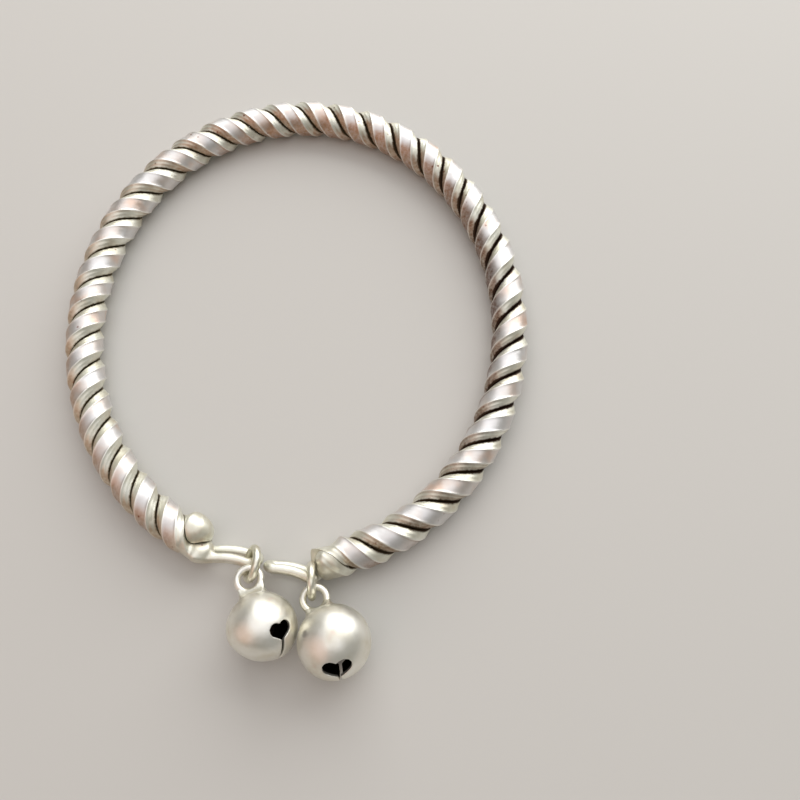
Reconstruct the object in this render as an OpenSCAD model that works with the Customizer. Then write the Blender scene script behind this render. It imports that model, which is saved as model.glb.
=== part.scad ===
// Silver bell bangle: an open oval rope of two twisted strands, a hairpin eye at each end of one
// strand, a jump ring in each eye and a round bell with a loose pellet on each ring.
// Millimetres. The rope lies flat on z = 0 round the wrist opening, which is centred on the Z axis.
// The ends of the rope and the bells face -Y.

/* [Rope] */
// Half width of the oval that the rope's centreline follows, along X
oval_a = 32.7; // [32.3:0.1:33.1]
// Half length of the oval that the rope's centreline follows, along Y
oval_b = 37.6; // [37.4:0.1:37.8]
// Turn of the oval about Z, in degrees
oval_turn = 2.4; // [2:0.1:3]
// Outside diameter of the twisted rope
rope_d = 5.7; // [5.6:0.05:5.8]
// Angle on the oval where the left end of the rope is, in degrees
left_end = -115.35; // [-116:0.05:-115]
// Angle on the oval where the right end of the rope is, in degrees
right_end = -84.3; // [-84.8:0.1:-84]
// Sections per turn of the twist
sections_per_turn = 16; // [12:1:16]

/* [Hairpin eyes] */
// Thickness of the wire that one strand's ends are drawn out to
wire_d = 1.45; // [1.4:0.05:1.45]
// Distance between the centres of a hairpin's two legs at its root
leg_gap = 2.72; // [2.7:0.02:2.76]
// Distance between the centres of the left hairpin's legs at its turn, where its jump ring is
left_tip_gap = 2.8; // [2.76:0.02:2.84]
// Distance between the centres of the right hairpin's legs at its turn
right_tip_gap = 2.0; // [1.9:0.05:2.2]
// Lean of the left hairpin: how far the near leg is turned up, in degrees
left_leg_lean = 57; // [56:0.5:58]
// Lean of the right hairpin: how far the near leg is turned up, in degrees
right_leg_lean = 70; // [69:0.5:71]
// Bow of the legs towards the wrist, at mid length
leg_bow = 0.32; // [0.1:0.02:0.34]

/* [Jump rings] */
// Thickness of the jump rings' wire
ring_wire_d = 1.05; // [0.95:0.05:1.05]
// Radius of the jump rings, to the middle of their wire
ring_r = 2.1; // [2.05:0.05:2.1]
// Lean of the left jump ring towards +X, in degrees
left_ring_lean = 33.6; // [33.4:0.1:34]
// Lean of the right jump ring towards +X, in degrees
right_ring_lean = 5; // [4.5:0.1:5.5]

/* [Bells] */
// Diameter of the left bell
left_bell_d = 9.5; // [9.4:0.05:9.6]
// Diameter of the right bell
right_bell_d = 9.9; // [9.8:0.05:9.9]
// Thickness of a bell's shell
bell_wall = 0.5; // [0.4:0.05:0.7]
// Thickness of the ring that is a bell's eye
eye_wire_d = 0.92; // [0.8:0.02:0.92]
// Radius of a bell's eye, to the middle of its ring
eye_r = 1.63; // [1.61:0.02:1.65]
// Distance from the left bell's shell to the centre of its eye
left_eye_rise = 2.06; // [2.04:0.01:2.08]
// Distance from the right bell's shell to the centre of its eye
right_eye_rise = 1.36; // [1.34:0.01:1.38]
// Width of the slit between a bell's two hearts
slit_w = 0.35; // [0.25:0.05:0.6]
// Width of the left bell's hearts
left_heart_w = 3.04; // [2.92:0.04:3.08]
// Width of the right bell's hearts
right_heart_w = 3.86; // [3.6:0.02:3.9]
// Diameter of the loose pellet in a bell
pellet_d = 2.5; // [2.2:0.1:3]

/* [Hidden] */

SILVER = [0.80, 0.79, 0.74];
SATIN_SILVER = [0.87, 0.86, 0.81];
IRON = [0.35, 0.33, 0.31];

UP = [0, 0, 1];
rope_r = rope_d / 2;
wire_r = wire_d / 2;

// Half rounds between the grooves, counted along the rope.
// Columns: length from the left end, number of grooves passed.
TWIST = [[-2, -1.19], [3.7, -0.10], [24.5, 3.95], [50.5, 9.04], [73.95, 13.10], [89.9, 16.11],
    [111.0, 20.10], [132.4, 24.05], [155.5, 27.97], [182.4, 32.92], [204, 36.6], [208, 37.2]];
TWIST_LENGTH = 204;

// One strand's section, square to the rope, which fills a little less than half of it.
// Columns: distance from the rope's centre as a share of its radius, angle from the strand's middle.
STRAND_SECTION = [[0.985, 13], [1, 40], [0.87, 63], [0.70, 84], [0.302, 84.3],
    [0.302, -84.3], [0.70, -84], [0.87, -63], [1, -40], [0.985, -13]];
SIDES = len(STRAND_SECTION);
// Angles of the corners of the wire's section, in the same order
WIRE_SECTION = [18, 54, 90, 126, 162, -162, -126, -90, -54, -18];
// Where a strand's section has its middle, as a share of the rope's radius
STRAND_MIDDLE = 0.45;

// Left end of the plain strand, worked round into a knob: radius that its section comes to.
KNOB_R = 1.7;
// Columns: length past the rope's end, share of the full section left, shift towards the wrist,
// share that is round.
KNOB = [[1.84, 0.20, 1.12, 1], [1.68, 0.52, 1.10, 1], [1.33, 0.82, 1.04, 1], [0.83, 0.98, 0.90, 0.85],
    [0.40, 1, 0.66, 0.45]];
// The strand's own shift towards the wrist at the knob, and the length over which it dies out
END_SHIFT = 0.45;
END_SHIFT_LENGTH = 3;
// Length by which the plain strand's cut right end stays short of the rope's end
PLAIN_CUT = 0.3;
// Rounded wire ends. Columns: length past the end, share of the full section left.
WIRE_TAIL = [[0.30, 0.35], [0.17, 0.80]];

// Hairpins. Columns: middle of the root, heading, length from the root to the centre of the turn,
// distance between the legs' centres at the turn, lean.
LEFT_PIN = [[-10.56, -36.25, 1.95], -6.35, 5.1, left_tip_gap, left_leg_lean];
RIGHT_PIN = [[3.36, -39.29, 2.1], 166, 5.14, right_tip_gap, right_leg_lean];
// How far the legs' free ends run on past the root, and where the right hairpin's far leg starts
LEFT_TAIL = 0.3;
RIGHT_TAIL = 0.95;
RIGHT_START = 0.8;

// Bells. Columns: centre, heading of the eye from +Y towards -X, droop of the eye below level,
// distance from the centre to the centre of the eye.
LEFT_BELL = [[-2.58, -46.42, left_bell_d / 2], 19.72, 4.87, left_bell_d / 2 + left_eye_rise];
RIGHT_BELL = [[7.08, -48.24, right_bell_d / 2], 26.66, 5.51, right_bell_d / 2 + right_eye_rise];
// Mouths, which are cut a little askew to the eyes. Columns: heading and droop of the mouth's axis,
// turn of the slit about it, angle of the hearts from it, width of the hearts.
LEFT_MOUTH = [28, -1.2, 304.5, 66, left_heart_w];
RIGHT_MOUTH = [12.9, -17, 269.2, 56, right_heart_w];

// Where a jump ring passes. Columns: along the hairpin from its root, across it towards the near
// leg, from the centre of the bell's eye outwards, from there sideways towards +X.
LEFT_PASS = [5.11, 0, 0.11, 0.28];
RIGHT_PASS = [-0.17, -0.03, 0.51, -0.21];

// Clearance between a pellet and the shell that it lies in
pellet_play = 0.1;

function unit(v) = v / norm(v);
function mix(a, b, s) = a + (b - a) * s;
function ease(s) = let(c = min(1, max(0, s))) c * c * (3 - 2 * c);
function turned(v, a) = [v[0] * cos(a) - v[1] * sin(a), v[0] * sin(a) + v[1] * cos(a)];

// The oval and the length along it, clockwise seen from above
PATH_STEPS = 720;
path_sweep = 360 + left_end - right_end;
function oval(t) = turned([oval_a * cos(t), oval_b * sin(t)], oval_turn);
function path_angle(i) = left_end - path_sweep * i / PATH_STEPS;
PATH = [for (i = 0, s = 0; i <= PATH_STEPS;
    s = s + norm(oval(path_angle(i + 1)) - oval(path_angle(i))), i = i + 1) [s, path_angle(i)]];
rope_length = PATH[PATH_STEPS][0];

// At a length along the rope, which runs on straight past its ends
function oval_at(len_at) = lookup(min(rope_length, max(0, len_at)), PATH);
function outward(len_at) = let(t = oval_at(len_at), n = turned([cos(t) / oval_a, sin(t) / oval_b], oval_turn))
    unit([n[0], n[1], 0]);
function along(len_at) = cross(outward(len_at), UP);
function centre(len_at) = let(p = oval(oval_at(len_at)), past = len_at - min(rope_length, max(0, len_at)))
    [p[0], p[1], rope_r] + past * along(len_at);
function groove_count(len_at) = lookup(len_at * TWIST_LENGTH / rope_length, TWIST);
function strand_angle(len_at, which) = 180 * (groove_count(len_at) + which) + 90;

// Corners of a strand's section about its own middle, in the frame out and UP
function strand_corners(out, angle) = [for (q = STRAND_SECTION)
    rope_r * (q[0] * (cos(angle + q[1]) * out + sin(angle + q[1]) * UP)
        - STRAND_MIDDLE * (cos(angle) * out + sin(angle) * UP))];
function strand_middle(len_at, which) = let(a = strand_angle(len_at, which))
    centre(len_at) + rope_r * STRAND_MIDDLE * (cos(a) * outward(len_at) + sin(a) * UP);
function strand_ring(len_at, which, share = 1) = let(m = strand_middle(len_at, which))
    [for (c = strand_corners(outward(len_at), strand_angle(len_at, which))) m + share * c];
function round_corners(r, x, y, angle) = [for (b = WIRE_SECTION)
    r * (cos(angle + b) * x + sin(angle + b) * y)];
function wire_corners(x, y, angle) = round_corners(wire_r, x, y, angle);
function placed(corners, at, share = 1) = [for (c = corners) at + share * c];

turns = (groove_count(rope_length) - groove_count(0)) / 2;
SECTIONS = ceil(turns * sections_per_turn);
function strand_rings(which, end, shift = 0) = [for (i = [0:SECTIONS])
    let(len_at = end * i / SECTIONS, fade = 1 - ease(len_at / END_SHIFT_LENGTH))
    placed(strand_ring(len_at, which), -shift * fade * outward(len_at))];

// A closed skin over a row of rings that all have SIDES corners
module skin(rings) {
    last = len(rings) - 1;
    points = [for (r = rings) each r];
    walls = [for (i = [0:last - 1], j = [0:SIDES - 1])
        let(a = i * SIDES + j, b = i * SIDES + (j + 1) % SIDES) each [[a, a + SIDES, b + SIDES], [a, b + SIDES, b]]];
    first_end = [for (j = [0:SIDES - 1]) j];
    last_end = [for (j = [SIDES - 1:-1:0]) last * SIDES + j];
    polyhedron(points, concat([first_end], walls, [last_end]), convexity = 10);
}

// Frame of a hairpin: pin_dir along its legs to the turn, near_dir across them to the near leg,
// side_dir square to both
function pin_dir(pin) = [cos(pin[1]), sin(pin[1]), 0];
function level_out(pin) = let(d = pin_dir(pin), n = [d[1], -d[0], 0]) n[1] < 0 ? n : -n;
function near_dir(pin) = cos(pin[4]) * level_out(pin) + sin(pin[4]) * UP;
function side_dir(pin) = cross(near_dir(pin), pin_dir(pin));

// Middle of a leg, s along from the root; leg is 1 for the near leg and -1 for the far leg
function leg_point(pin, s, leg) =
    let(share = min(1, max(0, s / pin[2])))
    pin[0] + s * pin_dir(pin) + leg * mix(leg_gap, pin[3], share) / 2 * near_dir(pin)
        - 4 * leg_bow * share * (1 - share) * level_out(pin);

LEG_STEPS = 5;
TURN_STEPS = 10;
function leg_ring(pin, s, leg, angle, share = 1) =
    placed(wire_corners(leg * near_dir(pin), side_dir(pin), angle), leg_point(pin, s, leg), share);
function leg_rings(pin, from, to, leg, angle) =
    [for (i = [0:LEG_STEPS]) leg_ring(pin, mix(from, to, i / LEG_STEPS), leg, angle)];
// The turn at the tip, from the far leg to the near leg, both ends left out
function turn_rings(pin, angle) = [for (i = [1:TURN_STEPS - 1])
    let(a = 180 * i / TURN_STEPS, x = sin(a) * pin_dir(pin) - cos(a) * near_dir(pin))
    placed(wire_corners(x, side_dir(pin), angle), pin[0] + pin[2] * pin_dir(pin) + pin[3] / 2 * x)];
// The rounded free end of a leg, which points away from the turn
function tail_rings(pin, s, leg, angle) = [for (q = WIRE_TAIL) leg_ring(pin, s - q[0], leg, angle, q[1])];
function reversed(list) = [for (i = [len(list) - 1:-1:0]) list[i]];

// Smooth curve between two points with the end directions given
function curve(a, da, b, db, s) = let(r = 1 - s)
    r * r * r * a + 3 * r * r * s * (a + da) + 3 * r * s * s * (b - db) + s * s * s * b;

// Where the strand thins into the wire
THIN_STEPS = 9;
HANDLE = 0.9;
left_angle = strand_angle(0, 0);
function left_thinning_rings() =
    let(start = leg_point(LEFT_PIN, 0, 1), end = strand_middle(0, 0),
        wire = wire_corners(level_out(LEFT_PIN), UP, left_angle),
        full = strand_corners(outward(0), left_angle))
    [for (i = [1:THIN_STEPS - 1])
        let(s = i / THIN_STEPS, w = ease(s / 0.8),
            c = curve(start, -HANDLE * pin_dir(LEFT_PIN), end, HANDLE * along(0), s))
        [for (j = [0:SIDES - 1]) c + mix(wire[j], full[j], w)]];

// The right end of the strand turns on and sinks as it thins
TURN_ON = 50;
right_angle = strand_angle(rope_length, 0);
function right_thinning_rings() =
    let(start = strand_middle(rope_length, 0), end = leg_point(RIGHT_PIN, RIGHT_START, -1),
        fall = unit(along(rope_length) - 0.6 * UP))
    [for (i = [1:THIN_STEPS - 1])
        let(s = i / THIN_STEPS, w = 1 - ease((s + 0.04) / 0.8), angle = right_angle + TURN_ON * s,
            c = curve(start, HANDLE * fall, end, HANDLE * pin_dir(RIGHT_PIN), s),
            wire = wire_corners(level_out(RIGHT_PIN), UP, angle),
            full = strand_corners(outward(rope_length), angle))
        [for (j = [0:SIDES - 1]) c + mix(wire[j], full[j], w)]];

module eyed_strand() {
    // Turn of the wire's corners in the hairpins' frames; a far leg's frame is half a turn on
    left_turn = left_angle - left_leg_lean;
    right_turn = right_angle + TURN_ON - right_leg_lean - 180;
    left_hairpin = concat(
        tail_rings(LEFT_PIN, -LEFT_TAIL, -1, left_turn),
        leg_rings(LEFT_PIN, -LEFT_TAIL, LEFT_PIN[2], -1, left_turn),
        turn_rings(LEFT_PIN, left_turn),
        leg_rings(LEFT_PIN, LEFT_PIN[2], 0, 1, left_turn));
    right_hairpin = concat(
        leg_rings(RIGHT_PIN, RIGHT_START, RIGHT_PIN[2], -1, right_turn),
        turn_rings(RIGHT_PIN, right_turn),
        leg_rings(RIGHT_PIN, RIGHT_PIN[2], -RIGHT_TAIL, 1, right_turn),
        reversed(tail_rings(RIGHT_PIN, -RIGHT_TAIL, 1, right_turn)));
    color(SILVER)
        skin(concat(left_hairpin, left_thinning_rings(), strand_rings(0, rope_length),
            right_thinning_rings(), right_hairpin));
}

module plain_strand() {
    corners = strand_corners(outward(0), strand_angle(0, 1));
    knob_corners = round_corners(KNOB_R, outward(0), UP, strand_angle(0, 1));
    knob = [for (q = KNOB)
        placed([for (j = [0:SIDES - 1]) mix(corners[j], knob_corners[j], q[3])],
            strand_middle(0, 1) - q[0] * along(0) - q[2] * outward(0), q[1])];
    color(SILVER)
        skin(concat(knob, strand_rings(1, rope_length - PLAIN_CUT, END_SHIFT)));
}

module torus(radius, wire) {
    rotate_extrude($fn = 64)
        translate([radius, 0])
            circle(d = wire, $fn = 32);
}

// Direction from a bell's centre to its eye, and the level direction across the eye
function bell_axis(b) = let(level = [-sin(b[1]), cos(b[1]), 0]) cos(b[2]) * level - sin(b[2]) * UP;
function eye_across(b) = [cos(b[1]), sin(b[1]), 0];
function slot_point(pin, pass) = pin[0] + pass[0] * pin_dir(pin) + pass[1] * near_dir(pin);
function eye_point(b, pass) = b[0] + (b[3] + pass[2]) * bell_axis(b) + pass[3] * eye_across(b);

// A jump ring is drawn round its chord, from the slot of the hairpin to the eye of the bell
module jump_ring(slot, eye, lean) {
    chord = eye - slot;
    e = unit(chord);
    rise = unit(UP - (UP * e) * e);
    across = cross(rise, e);
    lean_to = cos(lean) * rise + sin(lean) * (across[0] < 0 ? -across : across);
    c = (slot + eye) / 2 + sqrt(ring_r * ring_r - chord * chord / 4) * lean_to;
    n = unit(cross(e, lean_to));
    color(SILVER)
        translate(c)
            rotate([0, acos(n[2]), atan2(n[1], n[0])])
                torus(ring_r, ring_wire_d);
}

module jump_ring_left() {
    jump_ring(slot_point(LEFT_PIN, LEFT_PASS), eye_point(LEFT_BELL, LEFT_PASS), left_ring_lean);
}

module jump_ring_right() {
    jump_ring(slot_point(RIGHT_PIN, RIGHT_PASS), eye_point(RIGHT_BELL, RIGHT_PASS), right_ring_lean);
}

// Neck between shell and eye: round fillets, wide in the plane of the eye and narrow square to it
NECK_HALF = 1.85;
NECK_FILLET = 1.5;
NECK_LENGTH = 1.0;
NECK_SIDE_FILLET = 1.6;
FILLET_SINK = 0.05;
module neck(bell_r, eye_h) {
    neck_top = eye_h - NECK_LENGTH;
    wide_r = NECK_HALF + NECK_FILLET;
    wide_z = sqrt(pow(bell_r + NECK_FILLET - FILLET_SINK, 2) - wide_r * wide_r);
    side_y = eye_wire_d / 2 - FILLET_SINK / 2 + NECK_SIDE_FILLET;
    side_z = sqrt(pow(bell_r + NECK_SIDE_FILLET - FILLET_SINK, 2) - side_y * side_y);
    foot_r = wide_r * 0.8;
    foot_z = bell_r * 0.72;
    difference() {
        rotate_extrude($fn = 96)
            difference() {
                polygon([[0, foot_z], [foot_r, foot_z], [foot_r, neck_top], [0, neck_top]]);
                translate([wide_r, wide_z])
                    circle(r = NECK_FILLET, $fn = 64);
                translate([NECK_HALF, wide_z])
                    square([foot_r, eye_h]);
            }
        for (m = [0, 1])
            mirror([0, m, 0])
                translate([0, side_y, side_z])
                    rotate([0, 90, 0])
                        cylinder(r = NECK_SIDE_FILLET, h = 4 * NECK_HALF, center = true, $fn = 64);
        translate([0, 0, eye_h])
            rotate([90, 0, 0])
                cylinder(r = eye_r - eye_wire_d / 4, h = 2 * bell_r, center = true, $fn = 64);
    }
}

// Heart with its point at -X, where the slit starts. Shares of its width: sideways from the middle
// to a lobe's centre, point, lobes' centres.
LOBE_SPREAD = 0.212;
HEART_POINT = -0.425;
LOBE_X = 0.075;
module heart(width) {
    spread = LOBE_SPREAD * width;
    point = HEART_POINT * width;
    lobe_x = LOBE_X * width;
    lobe_r = width / 2 - spread;
    to_lobe = [lobe_x - point, spread];
    touch = sqrt(to_lobe * to_lobe - lobe_r * lobe_r);
    slope = atan2(to_lobe[1], to_lobe[0]) + asin(lobe_r / norm(to_lobe));
    touch_x = point + touch * cos(slope);
    touch_y = touch * sin(slope);
    for (s = [-1, 1])
        translate([lobe_x, s * spread])
            circle(r = lobe_r, $fn = 48);
    polygon([[point, 0], [touch_x, -touch_y], [lobe_x, -spread], [lobe_x, spread], [touch_x, touch_y]]);
}

// The cut through the shell's lower half: two hearts and the slit between them
HEART_DEPTH = 1.25;
module mouth(bell_r, heart_angle, width) {
    for (a = [0, 180])
        rotate([0, 0, a])
            rotate([0, -heart_angle, 0])
                translate([0, 0, -bell_r - 1])
                    linear_extrude(height = 1 + HEART_DEPTH)
                        heart(width);
    translate([-bell_r * sin(heart_angle), -slit_w / 2, -bell_r - 1])
        cube([2 * bell_r * sin(heart_angle), slit_w, bell_r + 1 - bell_r * cos(heart_angle)]);
}

// Turns +Z to a heading from +Y towards -X and down by a droop
module facing(heading, droop) {
    rotate([0, 0, heading])
        rotate([-90 - droop, 0, 0])
            children();
}

module bell(b, m) {
    bell_r = b[0][2];
    color(SATIN_SILVER)
        translate(b[0]) {
            difference() {
                facing(b[1], b[2])
                    difference() {
                        union() {
                            sphere(r = bell_r, $fn = 96);
                            neck(bell_r, b[3]);
                        }
                        sphere(r = bell_r - bell_wall, $fn = 96);
                    }
                facing(m[0], m[1])
                    rotate([0, 0, m[2]])
                        mouth(bell_r, m[3], m[4]);
            }
            facing(b[1], b[2])
                translate([0, 0, b[3]])
                    rotate([90, 0, 0])
                        torus(eye_r, eye_wire_d);
        }
}

module bell_left() {
    bell(LEFT_BELL, LEFT_MOUTH);
}

module bell_right() {
    bell(RIGHT_BELL, RIGHT_MOUTH);
}

// A pellet lies at the bottom of its bell
module pellet(b) {
    color(IRON)
        translate([b[0][0], b[0][1], bell_wall + pellet_play + pellet_d / 2])
            sphere(d = pellet_d, $fn = 48);
}

module pellet_left() {
    pellet(LEFT_BELL);
}

module pellet_right() {
    pellet(RIGHT_BELL);
}

eyed_strand();
plain_strand();
jump_ring_left();
jump_ring_right();
bell_left();
bell_right();
pellet_left();
pellet_right();
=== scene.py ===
import math

import bpy
import numpy as np
from mathutils import Matrix, Vector
from mathutils.bvhtree import BVHTree


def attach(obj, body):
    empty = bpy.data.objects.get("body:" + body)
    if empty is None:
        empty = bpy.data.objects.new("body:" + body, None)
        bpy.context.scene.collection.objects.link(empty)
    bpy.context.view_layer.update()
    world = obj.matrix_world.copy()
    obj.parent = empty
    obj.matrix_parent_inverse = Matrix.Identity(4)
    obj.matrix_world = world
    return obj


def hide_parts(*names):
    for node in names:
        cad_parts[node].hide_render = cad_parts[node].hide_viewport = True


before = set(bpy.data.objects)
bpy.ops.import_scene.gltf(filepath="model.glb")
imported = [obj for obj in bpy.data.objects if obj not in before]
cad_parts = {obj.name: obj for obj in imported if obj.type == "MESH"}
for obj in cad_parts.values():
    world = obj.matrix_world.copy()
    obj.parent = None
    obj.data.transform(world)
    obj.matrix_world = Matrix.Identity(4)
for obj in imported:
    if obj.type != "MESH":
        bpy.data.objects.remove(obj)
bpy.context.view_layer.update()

# ---------------------------------------- sizes, in millimetres as in the CAD source
MM = 0.001
OVAL_A, OVAL_B, OVAL_TURN = 32.7, 37.6, 2.4
ROPE_R = 5.7 / 2
LEFT_END, RIGHT_END = -115.35, -84.3
PATH_STEPS = 720
PATH_SWEEP = 360 + LEFT_END - RIGHT_END
WIRE_R = 1.45 / 2
LEG_GAP, LEFT_TIP_GAP, RIGHT_TIP_GAP = 2.72, 2.8, 2.0
LEFT_LEG_LEAN, RIGHT_LEG_LEAN, LEG_BOW = 57.0, 70.0, 0.32
RING_WIRE_R, RING_R = 1.15 / 2, 2.1
LEFT_RING_LEAN, RIGHT_RING_LEAN = 33.6, 5.0
LEFT_BELL_R, RIGHT_BELL_R, BELL_WALL = 9.5 / 2, 9.9 / 2, 0.5
EYE_WIRE_R, EYE_R, LEFT_EYE_RISE, RIGHT_EYE_RISE = 0.96 / 2, 1.65, 2.06, 1.36
SLIT_W, LEFT_HEART_W, RIGHT_HEART_W = 0.35, 3.04, 3.86
PELLET_R, PELLET_PLAY = 2.5 / 2, 0.1

# the twist: length from the left end, of TWIST_LENGTH in all, and grooves passed
TWIST = np.array([[-2, -1.19], [3.7, -0.10], [24.5, 3.95], [50.5, 9.04], [73.95, 13.10], [89.9, 16.11],
                  [111.0, 20.10], [132.4, 24.05], [155.5, 27.97], [182.4, 32.92], [196.7, 35.40],
                  [201.7, 36.41], [205, 36.90], [208, 37.4]])
TWIST_LENGTH = 204.0
# strand section: share of the rope's radius, angle from the strand's middle
STRAND_SECTION = [(0.985, 13), (1, 40), (0.87, 63), (0.75, 86.5), (0.302, 88),
                  (0.302, -88), (0.75, -86.5), (0.87, -63), (1, -40), (0.985, -13)]
STRAND_MIDDLE = 0.45
CORNERS = len(STRAND_SECTION)
CORNER_TURN = 360 / CORNERS
# how far each of these corners is worn round, as a share of the facets beside it
CORNER_WEAR = [0.48, 0.16, 0.24, 0.14, 0.20, 0.20, 0.14, 0.24, 0.16, 0.48]
# the same corners at the rope's ends, where the strands are pressed together and the groove is shut
SHUT_SECTION = [(0.985, 13), (1, 40), (0.99, 63), (0.98, 89.4), (0.302, 88),
                (0.302, -88), (0.98, -89.4), (0.99, -63), (1, -40), (0.985, -13)]
SHUT_WEAR = [0.48, 0.22, 0.28, 0.06, 0.05, 0.05, 0.06, 0.28, 0.22, 0.48]
# between these distances from its left and its right end the groove opens
LEFT_SHUT, RIGHT_SHUT = (0.6, 4.2), (1.9, 3.8)
# steps along a worn corner and along the flat between two
CORNER_STEPS, FLAT_STEPS = (0.0, 0.25, 0.5, 0.75, 1.0), (0.33, 0.67)
# the groove's edge and bottom, as shares of the rope's radius
GROOVE_TOP, GROOVE_BOTTOM = 0.90, 0.75
# corners whose edges are rubbed bright, and how wide, as a share of a facet
RIDGE_CORNERS, RIDGE_WIDTH = (1, 8), 0.18
# the middle facets reach this far from the strand's middle line, in degrees, and fade over this much
CROWN_EDGE, CROWN_FADE = 44, 12
# right end: how far both strands reach past the path's end, and how its wrist side is hammered down
END_REACH, END_FLAT, FLAT_START, FLAT_LENGTH = 1.0, 0.36, 3.6, 2.4
# plain strand's knob: middle, half its length, half its width towards the wrist, half its height
KNOB_MIDDLE = np.array([-13.29, -32.80, 3.1])
KNOB_HALF = (3.0, 2.4, 2.5)
# the knob starts to swell and is full this far before the rope's end, and is flat for so much past it
KNOB_START, KNOB_FULL, KNOB_FLAT, KNOB_SECTIONS = 3.6, 2.0, 1.5, 60
# gap between the strands where the knob is flat
STRAND_GAP = 0.04
# room that the knob leaves beside the other strand, and the strand's right end behind the ring
KNOB_PLAY, RING_PLAY, RING_PASSES = 0.10, 0.06, 4
# the knob is moved clear and evened out by these shares in turn
KNOB_EVENING = (0.5, 0.5, 0.5, 0.25, 0.0, 0.0)
# the lump that the left hairpin's legs run into: middle and half sizes along the legs, level and up
LUMP_MIDDLE = np.array([-12.05, -35.85, 2.35])
LUMP_HALF = (2.1, 1.75, 2.2)
# how far the loose leg runs into it, how often and how much it is worn round, and the shares of its size
# within which a ring is swollen and out of which the knob is kept
LUMP_TAIL, LUMP_WEAR, LUMP_EVENING, LUMP_SKIN, LUMP_HOLD = 1.2, 30, 0.5, 0.98, 0.95
# the plain strand's shift towards the wrist at its left end, and where across the strand it fades in
END_SHIFT, END_SHIFT_LENGTH, SHIFT_FROM, SHIFT_FADE = 0.45, 3.0, 0.1, 1.2
# its right end: reach past the path, length and amount of the rounding, and shares of the closing rings
PLAIN_REACH, PLAIN_ROUND, PLAIN_SHRINK, PLAIN_POWER = 0.6, 1.3, 0.45, 2.5
PLAIN_CLOSING, PLAIN_BULGE = (0.9, 0.7, 0.4, 0.1), 0.1
# rounded wire end: reach, its rings' angles from the tip in, least share and power of their size
TAIL_REACH, TAIL_ANGLES, TAIL_TIP, TAIL_POWER = 0.30, (2, 12, 24, 38, 54, 72), 0.02, 0.8
# hairpins: middle of the root, heading, length, gap at the turn, lean
LEFT_PIN = (np.array([-10.56, -36.25, 1.95]), -6.35, 5.1, LEFT_TIP_GAP, LEFT_LEG_LEAN)
RIGHT_PIN = (np.array([3.36, -39.29, 2.1]), 166.0, 5.14, RIGHT_TIP_GAP, RIGHT_LEG_LEAN)
RIGHT_TAIL, RIGHT_START = 0.95, 0.8
# bells: centre, heading and droop of the eye, distance of the eye from the centre
LEFT_BELL = (np.array([-2.58, -46.42, LEFT_BELL_R]), 19.72, 4.87, LEFT_BELL_R + LEFT_EYE_RISE)
RIGHT_BELL = (np.array([7.08, -48.24, RIGHT_BELL_R]), 26.66, 5.51, RIGHT_BELL_R + RIGHT_EYE_RISE)
# mouths: heading and droop of the axis, turn of the slit, angle of the hearts from it, their width
LEFT_MOUTH = (28.0, -1.2, 304.5, 66.0, LEFT_HEART_W)
RIGHT_MOUTH = (12.9, -17.0, 269.2, 56.0, RIGHT_HEART_W)
# rings: where each passes its hairpin, along it and across, and its bell's eye, out from the bell and across
LEFT_PASS = (5.11, 0.0, 0.11, 0.28)
RIGHT_PASS = (-0.17, -0.03, 0.51, -0.21)
UP = np.array([0.0, 0.0, 1.0])


# ---------------------------------------- small helpers
def unit(v):
    return v / np.linalg.norm(v)


def sind(a):
    return math.sin(math.radians(a))


def cosd(a):
    return math.cos(math.radians(a))


def ease(s):
    c = np.clip(s, 0.0, 1.0)
    return c * c * (3 - 2 * c)


# an unevenness: number of its waves, how often one of them fits in its size, and how high they add up
WAVES, WAVE_SPREAD, WAVE_SUM = 9, (0.6, 1.5), 1.4


def wobble(p, size, seed):
    """Smooth unevenness from -1 to 1 at points p, in hollows and humps of about size mm: a sum of waves."""
    rng = np.random.default_rng(seed)
    out = np.zeros(len(p))
    for _ in range(WAVES):
        way = unit(rng.normal(size=3))
        turning = 2 * math.pi / size * rng.uniform(*WAVE_SPREAD)
        out += np.sin(p @ way * turning + rng.uniform(0, 2 * math.pi))
    return np.clip(out / math.sqrt(WAVES) / WAVE_SUM, -1, 1)


# ---------------------------------------- the rope's path and twist
def oval(t):
    x, y = OVAL_A * cosd(t), OVAL_B * sind(t)
    return np.array([x * cosd(OVAL_TURN) - y * sind(OVAL_TURN), x * sind(OVAL_TURN) + y * cosd(OVAL_TURN)])


def path_angle(i):
    return LEFT_END - PATH_SWEEP * i / PATH_STEPS


PATH_ANGLES = [path_angle(i) for i in range(PATH_STEPS + 1)]
PATH_POINTS = np.array([oval(t) for t in PATH_ANGLES])
PATH_LENGTHS = np.concatenate([[0], np.cumsum(np.linalg.norm(np.diff(PATH_POINTS, axis=0), axis=1))])
ROPE_LENGTH = PATH_LENGTHS[-1]


def oval_at(length):
    return np.interp(length, PATH_LENGTHS, PATH_ANGLES)


def outward(length):
    t = oval_at(length)
    x, y = cosd(t) / OVAL_A, sind(t) / OVAL_B
    return unit(np.array([x * cosd(OVAL_TURN) - y * sind(OVAL_TURN),
                          x * sind(OVAL_TURN) + y * cosd(OVAL_TURN), 0]))


def along(length):
    return np.cross(outward(length), UP)


def centre(length):
    past = length - min(ROPE_LENGTH, max(0.0, length))
    return np.append(oval(oval_at(length)), ROPE_R) + past * along(length)


def strand_angle(length, which):
    grooves = np.interp(length * TWIST_LENGTH / ROPE_LENGTH, TWIST[:, 0], TWIST[:, 1])
    return 180 * (grooves + which) + 90


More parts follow.
